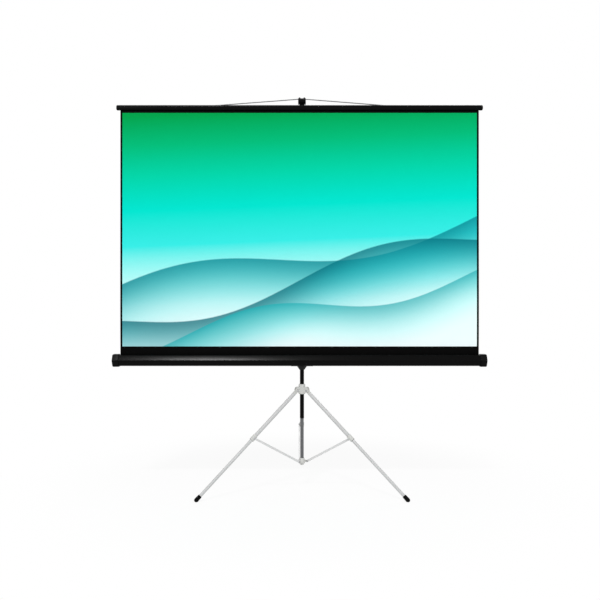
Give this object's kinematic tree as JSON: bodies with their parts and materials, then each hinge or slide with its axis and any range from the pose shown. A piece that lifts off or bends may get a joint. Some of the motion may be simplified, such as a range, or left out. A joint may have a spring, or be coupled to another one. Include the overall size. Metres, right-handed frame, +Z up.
{
  "type": "tripod projection screen",
  "caption": "Free-standing projection screen: spring-rolled fabric drawn up from a swivelling case to a hook on a telescopic pole, on a folding three-leg stand.",
  "frame": {"origin": "on the floor, at the middle of the footprint of the whole object", "axes": "+Z up, -Y towards the viewer that the screen faces, +X to that viewer's right"},
  "size_m": [1.86, 0.881, 1.9705],
  "materials": {
    "black_enamel": "glossy black stove enamel on steel",
    "black_plastic": "black moulded plastic, fine satin grain",
    "grey_plastic": "light grey moulded plastic",
    "grey_enamel": "light grey powder coat on steel tube",
    "zinc_steel": "dark zinc-plated steel tube",
    "bright_steel": "bright drawn steel",
    "black_rubber": "matt black rubber",
    "screen_cloth": "matt coated screen cloth with a black border"
  },
  "bodies": {
    "pole": {"main_pole": "black_enamel", "pole_bottom_bush": "black_plastic", "pole_top_collar": "black_plastic", "leg_hub": "grey_plastic", "leg_pin_1": "bright_steel", "leg_pin_2": "bright_steel", "leg_pin_3": "bright_steel"},
    "spreader": {"spreader_tube": "zinc_steel", "spreader_plug": "grey_plastic", "spreader_collar": "grey_plastic", "spreader_pin_1": "bright_steel", "spreader_pin_2": "bright_steel", "spreader_pin_3": "bright_steel"},
    "leg_1": {"leg_end_1": "grey_plastic", "leg_upper_1": "grey_enamel", "leg_lower_1": "grey_enamel", "leg_clamp_1": "grey_plastic", "leg_foot_1": "black_rubber"},
    "leg_2": {"leg_end_2": "grey_plastic", "leg_upper_2": "grey_enamel", "leg_lower_2": "grey_enamel", "leg_clamp_2": "grey_plastic", "leg_foot_2": "black_rubber"},
    "leg_3": {"leg_end_3": "grey_plastic", "leg_upper_3": "grey_enamel", "leg_lower_3": "grey_enamel", "leg_clamp_3": "grey_plastic", "leg_foot_3": "black_rubber"},
    "brace_1": {"brace_1": "grey_enamel", "brace_rivet_1": "bright_steel"},
    "brace_2": {"brace_2": "grey_enamel", "brace_rivet_2": "bright_steel"},
    "brace_3": {"brace_3": "grey_enamel", "brace_rivet_3": "bright_steel"},
    "carrier": {"carrier_body": "black_plastic", "carry_handle": "black_plastic", "swivel_bolt": "bright_steel"},
    "knob": {"carrier_knob": "black_plastic"},
    "case": {"case_shell": "black_enamel", "case_cap_left": "black_plastic", "case_cap_right": "black_plastic", "case_bracket": "black_plastic", "spring_shaft": "zinc_steel", "roller_spring": "bright_steel", "screen_fabric": "screen_cloth"},
    "roller": {"roller_tube": "zinc_steel", "roller_plug_left": "black_plastic", "roller_plug_right": "black_plastic"},
    "batten": {"batten_tube": "black_enamel", "batten_cap_left": "black_plastic", "batten_cap_right": "black_plastic", "bail_eye_left": "black_plastic", "bail_eye_right": "black_plastic"},
    "bail": {"bail_wire": "zinc_steel"},
    "extension": {"extension_tube": "bright_steel", "extension_stop": "black_plastic", "extension_hook": "black_plastic"},
    "button": {"extension_button": "bright_steel"}
  },
  "joints": [
    {"name": "tripod_fold", "type": "slide", "parent": "pole", "child": "spreader", "axis": [0, 0, 1], "range_m": [-0.2569, 0]},
    {"name": "leg_1_swing", "type": "hinge", "parent": "pole", "child": "leg_1", "pos_m": [-0.01311, -0.15782, 0.49023], "axis": [0.5, -0.866, 0], "range_deg": [0, 47]},
    {"name": "leg_2_swing", "type": "hinge", "parent": "pole", "child": "leg_2", "pos_m": [0.03712, -0.15782, 0.49023], "axis": [0.5, 0.866, 0], "range_deg": [0, 47]},
    {"name": "leg_3_swing", "type": "hinge", "parent": "pole", "child": "leg_3", "pos_m": [0.012, -0.11432, 0.49023], "axis": [-1, 0, 0], "range_deg": [0, 47]},
    {"name": "brace_1_swing", "type": "hinge", "parent": "spreader", "child": "brace_1", "pos_m": [-0.00878, -0.15532, 0.13223], "axis": [-0.5, 0.866, 0], "range_deg": [0, 58]},
    {"name": "brace_2_swing", "type": "hinge", "parent": "spreader", "child": "brace_2", "pos_m": [0.03279, -0.15532, 0.13223], "axis": [-0.5, -0.866, 0], "range_deg": [0, 58]},
    {"name": "brace_3_swing", "type": "hinge", "parent": "spreader", "child": "brace_3", "pos_m": [0.012, -0.11932, 0.13223], "axis": [1, 0, 0], "range_deg": [0, 58]},
    {"name": "case_lift", "type": "slide", "parent": "pole", "child": "carrier", "axis": [0, 0, 1], "range_m": [-0.07, 0.55]},
    {"name": "knob_turn", "type": "hinge", "parent": "carrier", "child": "knob", "pos_m": [0.043, -0.14332, 0.6473], "axis": [1, 0, 0], "continuous": true},
    {"name": "case_swivel", "type": "hinge", "parent": "carrier", "child": "case", "pos_m": [0.012, -0.16932, 0.6473], "axis": [0, 1, 0], "range_deg": [-45, 45]},
    {"name": "screen_draw", "type": "slide", "parent": "case", "child": "batten", "axis": [0, 0, 1], "range_m": [-1.21, 0], "deforming": ["screen_fabric"]},
    {"name": "roller_spin", "type": "hinge", "parent": "case", "child": "roller", "pos_m": [0, -0.20961, 0.6473], "axis": [1, 0, 0], "range_deg": [-5615, 0]},
    {"name": "bail_swing", "type": "hinge", "parent": "batten", "child": "bail", "pos_m": [0, -0.18226, 1.915], "axis": [1, 0, 0], "range_deg": [0, 35]},
    {"name": "extension_slide", "type": "slide", "parent": "pole", "child": "extension", "axis": [0, 0, 1], "range_m": [-0.5, 0]},
    {"name": "button_press", "type": "slide", "parent": "pole", "child": "button", "axis": [0, -1, 0], "range_m": [0, 0.003], "stiffness_N_per_m": 600}
  ],
  "couplings": [
    {"joint": "leg_1_swing", "follows": "tripod_fold", "rad_per_m": -3.1919},
    {"joint": "leg_2_swing", "follows": "tripod_fold", "rad_per_m": -3.1919},
    {"joint": "leg_3_swing", "follows": "tripod_fold", "rad_per_m": -3.1919},
    {"joint": "brace_1_swing", "follows": "tripod_fold", "rad_per_m": -3.9384},
    {"joint": "brace_2_swing", "follows": "tripod_fold", "rad_per_m": -3.9384},
    {"joint": "brace_3_swing", "follows": "tripod_fold", "rad_per_m": -3.9384},
    {"joint": "roller_spin", "follows": "screen_draw", "rad_per_m": 80.97}
  ]
}
